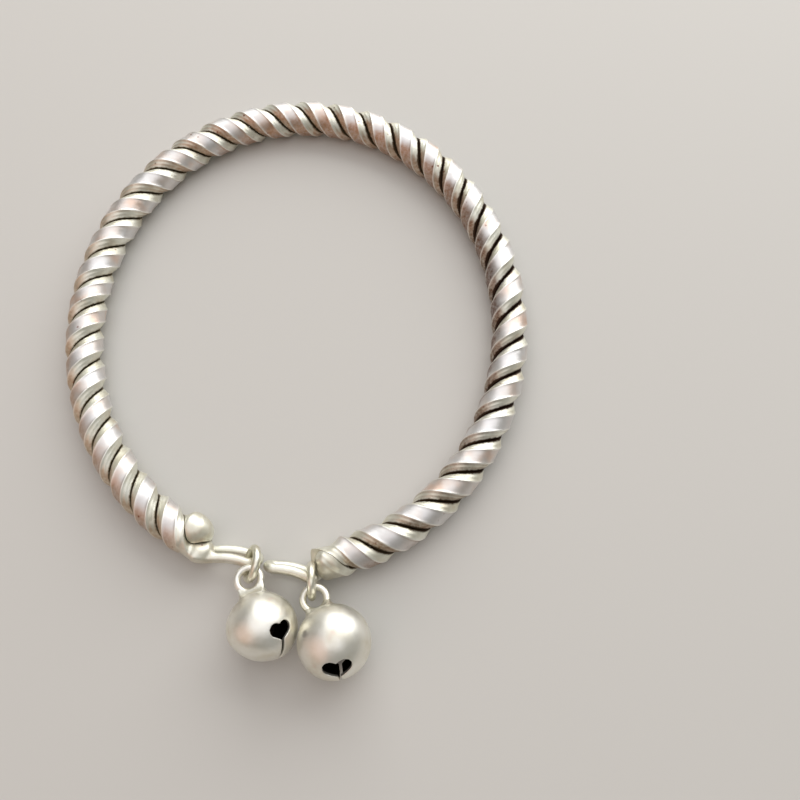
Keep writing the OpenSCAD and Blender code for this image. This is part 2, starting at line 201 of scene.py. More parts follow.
# ---------------------------------------- strand's section, worn round at its corners
def section_outline(section, wears):
    """Points of the section about the strand's middle, and their place in the row of corners."""
    corners = np.array([[r * cosd(a) - STRAND_MIDDLE, r * sind(a)] for r, a in section]) * ROPE_R
    n = len(corners)
    points, places = [], []
    for k in range(n):
        before, here, after = corners[k - 1], corners[k], corners[(k + 1) % n]
        wear = wears[k]
        start, end = here + wear * (before - here), here + wear * (after - here)
        for f in CORNER_STEPS:
            points.append((1 - f) ** 2 * start + 2 * f * (1 - f) * here + f * f * end)
            places.append(k - wear + 2 * wear * f)
        next_wear = wears[(k + 1) % n]
        flat = 1 - wear - next_wear
        for f in FLAT_STEPS:
            points.append(here + (wear + flat * f) * (after - here))
            places.append(k + wear + flat * f)
    return np.array(points), np.array(places)


OUTLINE, PLACES = section_outline(STRAND_SECTION, CORNER_WEAR)
SHUT_OUTLINE = section_outline(SHUT_SECTION, SHUT_WEAR)[0]
SIDES = len(OUTLINE)
FROM_ROPE = np.linalg.norm(OUTLINE + [STRAND_MIDDLE * ROPE_R, 0], axis=1) / ROPE_R
# 0 on the ridges and outer faces, 1 where the two strands meet
DEPTH = np.clip((GROOVE_TOP - FROM_ROPE) / (GROOVE_TOP - GROOVE_BOTTOM), 0, 1)
# 1 along the two outer edges between middle facets and shoulders, 0 on the facets
CORNER_AT = np.round(PLACES)
RIDGE = np.exp(-((PLACES - CORNER_AT) / RIDGE_WIDTH) ** 2) * np.isin(CORNER_AT % CORNERS, RIDGE_CORNERS)
# 1 on the middle facets of the strand's outside, where the painted reflection lies
CROWN_ANGLE = np.degrees(np.arctan2(OUTLINE[:, 1], OUTLINE[:, 0] + STRAND_MIDDLE * ROPE_R))
CROWN = ease((CROWN_EDGE - np.abs(CROWN_ANGLE)) / CROWN_FADE)


def strand_corners(out, angle, shut=0.0):
    x = cosd(angle) * out + sind(angle) * UP
    y = -sind(angle) * out + cosd(angle) * UP
    outline = OUTLINE + shut * (SHUT_OUTLINE - OUTLINE)
    return outline[:, :1] * x + outline[:, 1:] * y


def strand_middle(length, which):
    a = strand_angle(length, which)
    return centre(length) + ROPE_R * STRAND_MIDDLE * (cosd(a) * outward(length) + sind(a) * UP)


def shut(length):
    """How far the groove is shut: not along the rope, wholly at its two ends."""
    left, right = ((end - at) / (end - start) for at, (start, end) in
                   ((length, LEFT_SHUT), (ROPE_LENGTH - length, RIGHT_SHUT)))
    return ease(max(left, right))


def hammered_down(ring, length):
    """Lowers the wrist side of the rope's right end."""
    share = END_FLAT * ease((length - ROPE_LENGTH + FLAT_START) / FLAT_LENGTH)
    wrist_way = -outward(length)
    out = np.maximum(0, (ring - centre(length)) @ wrist_way)
    return ring - (share * out)[:, None] * wrist_way


def strand_ring(length, which):
    corners = strand_corners(outward(length), strand_angle(length, which), shut(length))
    return hammered_down(strand_middle(length, which) + corners, length)


def round_corners(radius, x, y, angle):
    a = np.radians(angle + CORNER_TURN / 2 + CORNER_TURN * PLACES)[:, None]
    return radius * (np.cos(a) * x + np.sin(a) * y)


def wire_corners(x, y, angle):
    return round_corners(WIRE_R, x, y, angle)


# ---------------------------------------- hairpins
def pin_dir(pin):
    return np.array([cosd(pin[1]), sind(pin[1]), 0])


def level_out(pin):
    d = pin_dir(pin)
    n = np.array([d[1], -d[0], 0])
    return n if n[1] < 0 else -n


def near_dir(pin):
    return cosd(pin[4]) * level_out(pin) + sind(pin[4]) * UP


def side_dir(pin):
    return np.cross(near_dir(pin), pin_dir(pin))


def leg_point(pin, s, leg):
    share = min(1, max(0, s / pin[2]))
    gap = LEG_GAP + (pin[3] - LEG_GAP) * share
    return (pin[0] + s * pin_dir(pin) + leg * gap / 2 * near_dir(pin)
            - 4 * LEG_BOW * share * (1 - share) * level_out(pin))


def leg_ring(pin, s, leg, angle, share=1.0):
    return leg_point(pin, s, leg) + share * wire_corners(leg * near_dir(pin), side_dir(pin), angle)


LEG_STEPS, TURN_STEPS, THIN_STEPS = 34, 36, 44


def leg_rings(pin, start, end, leg, angle):
    return [leg_ring(pin, start + (end - start) * i / LEG_STEPS, leg, angle) for i in range(LEG_STEPS + 1)]


def turn_rings(pin, angle):
    rings = []
    for i in range(1, TURN_STEPS):
        a = 180 * i / TURN_STEPS
        x = sind(a) * pin_dir(pin) - cosd(a) * near_dir(pin)
        middle = pin[0] + pin[2] * pin_dir(pin) + pin[3] / 2 * x
        rings.append(middle + wire_corners(x, side_dir(pin), angle))
    return rings


def tail_shares():
    """A rounded end: length past the end and share of the full section, from the tip in."""
    return [(TAIL_REACH * cosd(a), max(TAIL_TIP, sind(a) ** TAIL_POWER)) for a in TAIL_ANGLES]


def tail_rings(pin, s, leg, angle):
    return [leg_ring(pin, s - q, leg, angle, share) for q, share in tail_shares()]


def curve(a, da, b, db, s):
    r = 1 - s
    return r * r * r * a + 3 * r * r * s * (a + da) + 3 * r * s * s * (b - db) + s * s * s * b


# where a strand thins to wire: handles of its curve, turn of the section at the right end, shares of the
# length after which the section is full at the left and thin at the right, and how the right end falls
HANDLE, TURN_ON, LEFT_FULL, RIGHT_AHEAD, RIGHT_THIN, RIGHT_FALL = 0.9, 50, 0.8, 0.02, 0.75, 0.6


def left_thinning():
    angle = strand_angle(0, 0)
    start, end = leg_point(LEFT_PIN, 0, 1), strand_middle(0, 0)
    wire = wire_corners(level_out(LEFT_PIN), UP, angle)
    full = strand_corners(outward(0), angle, 1.0)
    rings = []
    for i in range(1, THIN_STEPS):
        s = i / THIN_STEPS
        w = ease(s / LEFT_FULL)
        c = curve(start, -HANDLE * pin_dir(LEFT_PIN), end, HANDLE * along(0), s)
        rings.append(c + wire + (full - wire) * w)
    return rings


def right_thinning():
    last = ROPE_LENGTH + END_REACH
    first = strand_angle(last, 0)
    full = strand_ring(last, 0)
    start, end = full.mean(axis=0), leg_point(RIGHT_PIN, RIGHT_START, -1)
    full = full - start
    fall = unit(along(ROPE_LENGTH) - RIGHT_FALL * UP)
    rings = []
    for i in range(1, THIN_STEPS):
        s = i / THIN_STEPS
        w = 1 - ease((s + RIGHT_AHEAD) / RIGHT_THIN)
        angle = first + TURN_ON * s
        c = curve(start, HANDLE * fall, end, HANDLE * pin_dir(RIGHT_PIN), s)
        wire = wire_corners(level_out(RIGHT_PIN), UP, angle)
        rings.append(c + wire + (full - wire) * w)
    return rings


# ---------------------------------------- strands, swept ring by ring
# A twist of changing pitch with an own section at each end can't be had from a screw or bevel modifier, so
# the strands' rings are worked out one by one and skinned.
def finish_piece(obj, replaced):
    """Hands a finished piece to the frame: it rides on the one body and stands for its CAD node."""
    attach(obj, "root")
    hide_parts(replaced)
    return obj


def linked(name, data):
    obj = bpy.data.objects.new(name, data)
    bpy.context.scene.collection.objects.link(obj)
    return obj


SECTIONS_PER_TURN = 58
# depth and size of the hammer flats and of the finer unevenness between them
FLATS, RIPPLES = (0.035, 4.5), (0.018, 1.3)
# nicks and dents: number, least and most size, least and most depth
NICKS, NICK_SIZE, NICK_DEPTH = 240, (0.25, 0.75), (0.02, 0.075)
# a wire thinner than this half width is less uneven, by this power
STOUT, STOUT_POWER = 1.2, 1.5


def uneven(points, seed, *kinds):
    """How deep the surface is sunk, from several kinds of unevenness given as depth and size."""
    return sum(deep * (1 + wobble(points, size, seed + i)) / 2 for i, (deep, size) in enumerate(kinds))


def worn(rings, seed):
    """The skin's unevenness: hammer flats, nicks in the ridges and soft dents, all sunk in, never proud."""
    count = len(rings)
    middles = rings.mean(axis=1, keepdims=True)
    flat = rings.reshape(-1, 3)
    rng = np.random.default_rng(seed)
    sink = uneven(flat, seed, FLATS, RIPPLES)
    for _ in range(NICKS):
        at = flat[rng.integers(len(flat))]
        size, deep = rng.uniform(*NICK_SIZE), rng.uniform(*NICK_DEPTH)
        near = np.linalg.norm(flat - at, axis=1)
        sink += deep * np.exp(-(near / size) ** 2)
    inward = middles - rings
    inward /= np.maximum(np.linalg.norm(inward, axis=2, keepdims=True), 1e-6)
    reach = np.linalg.norm(rings - middles, axis=2, keepdims=True)
    share = np.clip(reach / STOUT, 0, 1) ** STOUT_POWER
    return rings + inward * share * sink.reshape(count, -1, 1)


# painted shade: the way that the sides browned as painted shade face, away from the light, from where and
# over how much a side turns brown, and the share of this brown that is left where rings lack the strand's
# full section
SHADED_WAY = unit(np.array([-0.62, -0.76, -0.15]))
SHADE_FROM, SHADE_FADE, END_SHADE = 0.10, 0.45, 0.3


def skin(name, rings, fades, seed, material):
    """A closed skin over a row of rings. fades says how much of a strand's full section each ring has."""
    rings = worn(np.array(rings), seed)
    count = len(rings)
    faces = []
    for i in range(count - 1):
        a = i * SIDES
        for j in range(SIDES):
            b = (j + 1) % SIDES
            faces.append((a + j, a + b, a + b + SIDES, a + j + SIDES))
    faces.append(tuple(range(SIDES - 1, -1, -1)))
    last = (count - 1) * SIDES
    faces.append(tuple(range(last, last + SIDES)))
    mesh = bpy.data.meshes.new(name)
    mesh.from_pydata([tuple(p) for p in rings.reshape(-1, 3) * MM], [], faces)
    mesh.update()
    normals = np.zeros(len(mesh.vertices) * 3)
    mesh.vertex_normals.foreach_get("vector", normals)
    # painted shade: vertices whose normals face away from the light are browned
    tarnish = ease((normals.reshape(count, SIDES, 3) @ SHADED_WAY - SHADE_FROM) / SHADE_FADE)
    tarnish *= END_SHADE + (1 - END_SHADE) * fades[:, None]
    for label, values in (("groove_depth", fades[:, None] * DEPTH), ("ridge", fades[:, None] * RIDGE),
                          ("crown", fades[:, None] * CROWN), ("tarnish", tarnish)):
        layer = mesh.attributes.new(label, "FLOAT", "POINT")
        layer.data.foreach_set("value", np.asarray(values, dtype=np.float32).reshape(-1))
    mesh.polygons.foreach_set("use_smooth", [True] * len(mesh.polygons))
    mesh.materials.append(material)
    return linked(name, mesh)


# ---------------------------------------- materials
def linear(code):
    """An sRGB hex colour as the linear numbers that a socket wants."""
    parts = [int(code[i:i + 2], 16) / 255 for i in (1, 3, 5)]
    return tuple(p / 12.92 if p <= 0.04045 else ((p + 0.055) / 1.055) ** 2.4 for p in parts) + (1.0,)


def place_stops(elements, stops):
    """Colours or greys along a ramp, each with its place."""
    while len(elements) < len(stops):
        elements.new(0.5)
    for element, (place, colour) in zip(elements, stops):
        element.position = place
        element.color = linear(colour) if isinstance(colour, str) else (colour, colour, colour, 1)


def add(tree, kind, settings=None, **links):
    """One node with its settings, and what goes into its inputs, named or numbered as in_0, in_1...

    An input gets a value, an output or a node, which stands for its first output. Stops are a ramp's.
    """
    node = tree.nodes.new(kind)
    for key, value in (settings or {}).items():
        if key == "stops":
            place_stops(node.color_ramp.elements, value)
        else:
            setattr(node, key, value)
    for key, value in links.items():
        socket = node.inputs[int(key[3:])] if key.startswith("in_") else node.inputs[key.replace("_", " ")]
        if isinstance(value, bpy.types.Node):
            value = value.outputs[0]
        if isinstance(value, bpy.types.NodeSocket):
            tree.links.new(value, socket)
        else:
            socket.default_value = value
    return node


NOISE, RAMP, ATTRIBUTE = "ShaderNodeTexNoise", "ShaderNodeValToRGB", "ShaderNodeAttribute"
MATH, MIX, BUMP = "ShaderNodeMath", "ShaderNodeMix", "ShaderNodeBump"
COORDINATES, SURFACE, OUTPUT = "ShaderNodeTexCoord", "ShaderNodeBsdfPrincipled", "ShaderNodeOutputMaterial"
# a sum is the first input times the second plus the third
SUM, PRODUCT, COLOURS = {"operation": "MULTIPLY_ADD"}, {"operation": "MULTIPLY"}, {"data_type": "RGBA"}


def blank(name):
    material = bpy.data.materials.new(name)
    material.use_nodes = True
    material.node_tree.nodes.clear()
    return material, material.node_tree


# A noise of scale 1000 draws spots of about 1 mm, and the other scales go by that.
# Hammered twisted silver: wire hammered to half round and twisted while soft. The edges of its facets are
# rubbed bright, the facets have a satin greenish cream film with a painted lilac and pink reflection on the
# middle ones, brown painted shade lies on the sides that face away from the light, and silver sulphide lies
# black in the grooves.
def twisted_silver():
    material, tree = blank("hammered_twisted_silver")
    where = add(tree, COORDINATES).outputs["Object"]
    depth, ridge, crown, tarnish = (add(tree, ATTRIBUTE, {"attribute_name": label}).outputs["Fac"]
                                    for label in ("groove_depth", "ridge", "crown", "tarnish"))
    place = add(tree, "ShaderNodeSeparateXYZ", None, Vector=where).outputs
    # how far back on the bangle, at +Y, and how far to the right, at +X
    back = add(tree, "ShaderNodeMapRange", None, Value=place["Y"], From_Min=0.010, From_Max=0.034)
    right = add(tree, "ShaderNodeMapRange", None, Value=place["X"], From_Min=-0.008, From_Max=0.031)
    # film in patches of 3 mm, mottling of 0.5 mm, painted reflection in patches of 4 mm and grain of 0.15 mm
    patches, mottle, reflection_patches, grain = (
        add(tree, NOISE, None, Vector=where, Scale=scale, Detail=detail, Roughness=rough)
        for scale, detail, rough in ((330.0, 4.0, 0.6), (1900.0, 3.0, 0.65),
                                     (240.0, 2.0, 0.5), (6000.0, 2.0, 0.5)))
    film = add(tree, RAMP, {"stops": [(0.30, "#F4F4EA"), (0.47, "#EAE9DC"), (0.62, "#E0DCCB"),
                                      (0.76, "#D6C6B4")]}, Fac=patches)
    # painted reflection: lilac to pink, laid on the middle facets only
    painted_reflection_colour = add(tree, RAMP, {"stops": [(0.44, "#D8D6DB"), (0.58, "#DAD0CF"),
                                             (0.72, "#DDBAAA")]}, Fac=reflection_patches)
    painted_reflection_share = add(tree, MATH, PRODUCT, in_0=crown, in_1=0.68)
    # painted shade, brown on the sides that face the wrist and the left, away from the light: ochre on the
    # left, darkest at the right
    most = add(tree, MATH, {"operation": "MAXIMUM"}, in_0=back, in_1=right)
    most = add(tree, MATH, SUM, in_0=most, in_1=0.28, in_2=0.62)
    shade_brown = add(tree, MATH, SUM, in_0=mottle, in_1=1.5, in_2=0.12)
    shade_brown = add(tree, MATH, PRODUCT, in_0=shade_brown, in_1=most)
    shade_brown = add(tree, MATH, {"operation": "MULTIPLY", "use_clamp": True}, in_0=shade_brown, in_1=tarnish)
    shade_brown_colour = linear("#A88158")
    for share, other in ((right, "#664634"), (back, "#B48E72")):
        shade_brown_colour = add(tree, MIX, COLOURS, Factor=share, in_6=shade_brown_colour, in_7=linear(other)).outputs[2]
    # sulphide in the bottom of the grooves, its edge broken up by the mottling, thin and olive on the left,
    # and spread further on the right where the painted shade lies
    shaded = add(tree, MATH, PRODUCT, in_0=right, in_1=0.20)
    edge = -0.18
    for value, factor in ((mottle, 0.36), (right, 0.10), (tarnish, shaded), (depth, 1.0)):
        edge = add(tree, MATH, SUM, in_0=value, in_1=factor, in_2=edge)
    dirt = add(tree, RAMP, {"stops": [(0.76, 0.0), (0.92, 0.45), (1.0, 1.0)]}, Fac=edge)
    dirt_colour = add(tree, MIX, COLOURS, Factor=right, in_6=linear("#6E6148"),
                      in_7=linear("#3E2C22")).outputs[2]
    # red-brown pits, 0.2 to 0.4 mm wide, in some patches, most of them at the back
    cells = add(tree, "ShaderNodeTexVoronoi", None, Vector=where, Scale=700.0)
    pits = add(tree, RAMP, {"stops": [(0.06, 1.0), (0.16, 0.0)]}, Fac=cells)
    some = add(tree, MATH, SUM, in_0=back, in_1=0.10, in_2=patches)
    some = add(tree, RAMP, {"stops": [(0.54, 0.0), (0.62, 1.0)]}, Fac=some)
    pits = add(tree, MATH, PRODUCT, in_0=pits, in_1=some)
    bright_share = add(tree, MATH, PRODUCT, in_0=ridge, in_1=0.65)
    colour = film
    for share, other in ((painted_reflection_share, painted_reflection_colour), (shade_brown, shade_brown_colour), (dirt, dirt_colour),
                         (pits, linear("#84503E")), (bright_share, linear("#FDFCF6"))):
        colour = add(tree, MIX, COLOURS, Factor=share, in_6=colour, in_7=other).outputs[2]
    rough = 0.40
    for value, factor in ((mottle, 0.16), (dirt, 0.25), (ridge, -0.10)):
        rough = add(tree, MATH, SUM, in_0=value, in_1=factor, in_2=rough)
    relief = add(tree, MATH, PRODUCT, in_0=grain, in_1=0.16)
    relief = add(tree, MATH, SUM, in_0=pits, in_1=-0.6, in_2=relief)
    bump = add(tree, BUMP, None, Height=relief, Strength=0.30, Distance=0.00006)
    shader = add(tree, SURFACE, None, Base_Color=colour, Metallic=1.0, Roughness=rough, Normal=bump)
    add(tree, OUTPUT, None, Surface=shader)
    return material


# Drawn silver wire: plain round wire drawn through a plate and bent, rubbed by wear to a soft cream shine.
def ring_silver():
    material, tree = blank("drawn_silver_wire")
    where = add(tree, COORDINATES).outputs["Object"]
    patches = add(tree, NOISE, None, Vector=where, Scale=900.0, Detail=4.0, Roughness=0.6)
    colour = add(tree, RAMP, {"stops": [(0.35, "#F2F0E2"), (0.55, "#E2DFCB"),
                                        (0.72, "#C9C2A8")]}, Fac=patches)
    rough = add(tree, MATH, SUM, in_0=patches, in_1=0.2, in_2=0.24)
    grain = add(tree, NOISE, None, Vector=where, Scale=4000.0, Detail=3.0)
    bump = add(tree, BUMP, None, Height=grain, Strength=0.25, Distance=0.00004)
    shader = add(tree, SURFACE, None, Base_Color=colour, Metallic=1.0, Roughness=rough, Normal=bump)
    add(tree, OUTPUT, None, Surface=shader)
    return material


# Pressed silver: thin sheet pressed to a ball and burnished by wear. It is satin and whiter than the rope,
# and its inside is painted near black as painted shade.
def bell_silver():
    material, tree = blank("pressed_satin_silver")
    where = add(tree, COORDINATES).outputs["Object"]
    inside = add(tree, ATTRIBUTE, {"attribute_name": "inside"}).outputs["Fac"]
    patches = add(tree, NOISE, None, Vector=where, Scale=260.0, Detail=3.0, Roughness=0.55)
    mottle = add(tree, NOISE, None, Vector=where, Scale=1500.0, Detail=4.0, Roughness=0.6)
    film = add(tree, RAMP, {"stops": [(0.32, "#F6F5EE"), (0.5, "#F0EEE4"), (0.62, "#E6E2D4"),
                                      (0.75, "#DCC8BA")]}, Fac=patches)
    # painted shade: the inside of the shell is painted near black
    colour = add(tree, MIX, COLOURS, Factor=inside, in_6=film, in_7=linear("#2C2819")).outputs[2]
    rough = 0.34
    for value, factor in ((mottle, 0.16), (inside, 0.3)):
        rough = add(tree, MATH, SUM, in_0=value, in_1=factor, in_2=rough)
    grain = add(tree, NOISE, None, Vector=where, Scale=3500.0, Detail=4.0)
    bump = add(tree, BUMP, None, Height=grain, Strength=0.22, Distance=0.00004)
    shader = add(tree, SURFACE, None, Base_Color=colour, Metallic=1.0, Roughness=rough, Normal=bump)
    add(tree, OUTPUT, None, Surface=shader)
    return material


# Rusted iron: a small forged shot, seen as a dull brown crust in the dark of the bell.
def pellet_iron():
    material, tree = blank("rusted_iron_shot")
    where = add(tree, COORDINATES).outputs["Object"]
    crust = add(tree, NOISE, None, Vector=where, Scale=1800.0, Detail=5.0, Roughness=0.65)
    colour = add(tree, RAMP, {"stops": [(0.38, "#4A4440"), (0.55, "#5A4234"), (0.7, "#6B4127")]}, Fac=crust)
    bump = add(tree, BUMP, None, Height=crust, Strength=0.5, Distance=0.0001)
    shader = add(tree, SURFACE, None, Base_Color=colour, Metallic=0.6, Roughness=0.7, Normal=bump)
    add(tree, OUTPUT, None, Surface=shader)
    return material


TWISTED, RING, BELL, PELLET = twisted_silver(), ring_silver(), bell_silver(), pellet_iron()


# ---------------------------------------- the two strands
def eyed_strand():
    length = ROPE_LENGTH + END_REACH
    left_turn = strand_angle(0, 0) - LEFT_LEG_LEAN
    right_turn = strand_angle(length, 0) + TURN_ON - RIGHT_LEG_LEAN - 180
    turns = (strand_angle(ROPE_LENGTH, 0) - strand_angle(0, 0)) / 360
    count = int(turns * SECTIONS_PER_TURN)
    pin_in = (tail_rings(LEFT_PIN, -LUMP_TAIL, -1, left_turn)
              + leg_rings(LEFT_PIN, -LUMP_TAIL, LEFT_PIN[2], -1, left_turn)
              + turn_rings(LEFT_PIN, left_turn) + leg_rings(LEFT_PIN, LEFT_PIN[2], 0, 1, left_turn))
    lengths = [length * i / count for i in range(count + 1)]
    body = [strand_ring(at, 0) for at in lengths]
    # the last third of a turn can reach the right jump ring
    last_third = -SECTIONS_PER_TURN // 3
    body[last_third:] = behind_ring(body[last_third:])
    pin_out = (leg_rings(RIGHT_PIN, RIGHT_START, RIGHT_PIN[2], -1, right_turn)
               + turn_rings(RIGHT_PIN, right_turn)
               + leg_rings(RIGHT_PIN, RIGHT_PIN[2], -RIGHT_TAIL, 1, right_turn)
               + tail_rings(RIGHT_PIN, -RIGHT_TAIL, 1, right_turn)[::-1])
    before, after = pin_in + left_thinning(), behind_ring(right_thinning()) + pin_out
    fades = np.array([0.0] * len(before) + [1 - shut(at) for at in lengths] + [0.0] * len(after))
    # the lump takes in the last third of the hairpin's leg and the first sixth of a turn
    rings = swollen(before + body + after, len(pin_in) - LEG_STEPS // 3, len(before) + SECTIONS_PER_TURN // 6)
    obj = skin("rope_strand_with_hairpin_eyes", rings, fades, 11, TWISTED)
    return finish_piece(obj, "eyed_strand")


def to_lump(points):
    """Points in the root lump's own frame, where its skin is a ball of radius 1."""
    turn = np.array(Matrix.Rotation(math.radians(LEFT_PIN[1]), 3, "Z"))
    return (points - LUMP_MIDDLE) @ turn / LUMP_HALF


def swollen(rings, first, last):
    """Swells the rings from first to last out to the root lump's skin, then wears the joint round."""
    rings = np.array(rings)
    for i in range(first, last):
        middle = to_lump(rings[i].mean(axis=0)[None])[0]
        if middle @ middle >= LUMP_SKIN:
            continue
        way = to_lump(rings[i]) - middle
        b, c = way @ middle, middle @ middle - 1
        a = (way * way).sum(axis=1)
        stretch = (-b + np.sqrt(b * b - a * c)) / a
        centre_now = rings[i].mean(axis=0)
        rings[i] = centre_now + (rings[i] - centre_now) * np.maximum(1, stretch)[:, None]
    for _ in range(LUMP_WEAR):
        near = rings[first - 1:last + 1]
        beside = (np.roll(near, 1, axis=1) + np.roll(near, -1, axis=1))[1:-1]
        rings[first:last] += LUMP_EVENING * ((near[:-2] + near[2:] + beside) / 4 - rings[first:last])
    return rings


def clear_of_lump(points):
    """Moves points that lie in the root lump out to its skin."""
    near = np.maximum(np.linalg.norm(to_lump(points), axis=1, keepdims=True), 1e-6)
    return LUMP_MIDDLE + (points - LUMP_MIDDLE) * np.maximum(1, LUMP_HOLD / near)


def kept_clear(rings, other):
    """Moves points that lie in a finished piece, or nearer to it than the knob's play, out to that play."""
    mesh = other.data
    tree = BVHTree.FromPolygons([v.co for v in mesh.vertices], [p.vertices for p in mesh.polygons])
    rings = np.array(rings)
    for evening in KNOB_EVENING:
        flat = rings.reshape(-1, 3)
        for i, point in enumerate(flat):
            near, normal = (np.array(found) for found in tree.find_nearest(Vector(point * MM))[:2])
            near = near / MM
            if (point - near) @ normal < KNOB_PLAY:
                flat[i] = near + KNOB_PLAY * normal
        beside = (np.roll(rings, 1, axis=1) + np.roll(rings, -1, axis=1))[1:-1]
        rings[1:-1] += evening * ((rings[:-2] + rings[2:] + beside) / 4 - rings[1:-1])
    return list(rings)


def behind_ring(rings):
    """Moves points that lie in the right jump ring's wire back along the rope, to a small gap behind it."""
    middle, _, _, axis = ring_place(RIGHT_PIN, RIGHT_PASS, RIGHT_BELL, RIGHT_RING_LEAN)
    back, hold = -pin_dir(RIGHT_PIN), RING_WIRE_R + RING_PLAY
    points = np.array(rings).reshape(-1, 3)
    for _ in range(RING_PASSES):
        flat = points - middle
        flat -= (flat @ axis)[:, None] * axis
        flat /= np.linalg.norm(flat, axis=1, keepdims=True)
        off = points - middle - RING_R * flat
        run = np.cross(axis, flat)
        push = back - (run @ back)[:, None] * run
        a, b = (push * push).sum(axis=1), (off * push).sum(axis=1)
        c = (off * off).sum(axis=1) - hold ** 2
        step = np.where(c < 0, (-b + np.sqrt(np.maximum(0, b * b - a * c))) / a, 0)
        points = points + step[:, None] * back
    return list(points.reshape(-1, SIDES, 3))


def knob_rings():
    """The plain strand's last stretch, swelling into a round knob that is flat against the other strand."""
    past_way, wrist_way = -along(0), -outward(0)
    knob_past = (KNOB_MIDDLE - centre(0)) @ past_way
    end = knob_past + KNOB_HALF[0]
    rings, fades = [], []
    for f in np.linspace(0, 1, KNOB_SECTIONS):
        past = -KNOB_START + (end + KNOB_START) * math.sin(f * math.pi / 2)
        at = max(0.0, -past)
        angle = strand_angle(at, 1)
        middle = centre(at) + max(0.0, past) * past_way
        facing_way = cosd(angle) * outward(at) + sind(angle) * UP
        strand = shifted_ring(at) + max(0.0, past) * past_way
        reach = math.sqrt(max(1e-4, 1 - ((past - knob_past) / KNOB_HALF[0]) ** 2))
        round_ring = round_corners(1.0, KNOB_HALF[1] * outward(0), KNOB_HALF[2] * UP, angle)
        knob = KNOB_MIDDLE + (past - knob_past) * past_way + reach * round_ring
        # flat against the other strand as far as the rope goes, round past it
        hold = STRAND_GAP - 2 * ROPE_R * ease(past / KNOB_FLAT)
        knob += np.maximum(0, hold - (knob - middle) @ facing_way)[:, None] * facing_way
        share = ease((past + KNOB_START) / (KNOB_START - KNOB_FULL))
        rings.append(clear_of_lump(strand + share * (knob - strand)))
        fades.append((1 - share) * (1 - shut(at)))
    return rings[::-1], fades[::-1]


def shifted_ring(at):
    """The plain strand's section, eased towards the wrist at the left end, save where it meets the other."""
    ring, angle = strand_ring(at, 1), strand_angle(at, 1)
    off = (ring - centre(at)) @ (cosd(angle) * outward(at) + sind(angle) * UP)
    shift = END_SHIFT * (1 - ease(at / END_SHIFT_LENGTH)) * ease((off - SHIFT_FROM) / SHIFT_FADE)
    return ring - shift[:, None] * outward(at)


def plain_strand(other):
    end = ROPE_LENGTH + PLAIN_REACH
    turns = (strand_angle(end, 1) - strand_angle(KNOB_START, 1)) / 360
    count = int(turns * SECTIONS_PER_TURN)
    knob, knob_fades = knob_rings()
    knob = kept_clear(knob, other)
    lengths = [KNOB_START + (end - KNOB_START) * i / count for i in range(1, count + 1)]
    body = [shifted_ring(at) for at in lengths]
    # worn round over the last stretch to a hammered end
    for i, at in enumerate(lengths):
        past = max(0.0, at - end + PLAIN_ROUND) / PLAIN_ROUND
        middle = body[i].mean(axis=0)
        body[i] = middle + (body[i] - middle) * (1 - PLAIN_SHRINK * past ** PLAIN_POWER)
    cut = body[-1]
    middle = cut.mean(axis=0)
    body += [middle + (cut - middle) * share + PLAIN_BULGE * (1 - share) * along(end)
             for share in PLAIN_CLOSING]
    body_fades = [1 - shut(at) for at in lengths]
    fades = np.array(knob_fades + body_fades + [0.0] * (len(body) - len(lengths)))
    obj = skin("rope_strand_plain", knob + body, fades, 23, TWISTED)
    return finish_piece(obj, "plain_strand")


# ---------------------------------------- modelling by hand
def only(obj):
    bpy.ops.object.select_all(action="DESELECT")
    obj.select_set(True)
    bpy.context.view_layer.objects.active = obj


def primitive(name, kind, **settings):
    """A primitive to start a piece or a cutter from, with its turn and size written into its mesh."""
    bpy.ops.object.select_all(action="DESELECT")
    getattr(bpy.ops.mesh, f"primitive_{kind}_add")(**settings)
    obj = bpy.context.view_layer.objects.active
    obj.name = name
    bpy.ops.object.transform_apply(location=True, rotation=True, scale=True)
    return obj


def drawn_out(operation, merge=None, **settings):
    """Extrudes or spins the active object's whole outline to a solid and turns its faces outwards."""
    bpy.ops.object.mode_set(mode="EDIT")
    bpy.ops.mesh.select_all(action="SELECT")
    operation(**settings)
    bpy.ops.mesh.select_all(action="SELECT")
    if merge:
        bpy.ops.mesh.remove_doubles(threshold=merge)
    bpy.ops.mesh.normals_make_consistent(inside=False)
    bpy.ops.object.mode_set(mode="OBJECT")


def apply_modifier(obj, name, kind, **settings):
    only(obj)
    modifier = obj.modifiers.new(name, kind)
    for key, value in settings.items():
        setattr(modifier, key, value)
    bpy.ops.object.modifier_apply(modifier=name)


def cut_or_join(obj, other, operation):
    apply_modifier(obj, operation.lower(), "BOOLEAN", operation=operation, solver="EXACT", object=other)
    bpy.data.objects.remove(other)


def vertex_places(obj):
    places = np.zeros(len(obj.data.vertices) * 3)
    obj.data.vertices.foreach_get("co", places)
    return places.reshape(-1, 3)


def placed_piece(obj, matrix, material):
    """Gives the piece its material and writes its place into its mesh: at the origin, unturned, in metres."""
    obj.data.transform(Matrix.Scale(MM, 4) @ matrix)
    obj.matrix_world = Matrix.Identity(4)
    obj.data.update()
    obj.data.materials.clear()
    obj.data.materials.append(material)
    obj.data.polygons.foreach_set("use_smooth", [True] * len(obj.data.polygons))


# ---------------------------------------- bells, in millimetres about their centre
# a heart as shares of its width: how far a lobe's middle lies beside the slit, and where its point and its
# lobes lie along the slit. Then how deep its cutter goes into the bell, and a lobe's steps
HEART_SPREAD, HEART_POINT, HEART_LOBE_X, HEART_DEPTH, LOBE_STEPS = 0.212, -0.425, 0.075, 1.25, 22
NECK_HALF, NECK_FILLET, NECK_LENGTH, NECK_SIDE_FILLET, FILLET_SINK = 1.85, 1.5, 1.0, 1.6, 0.05
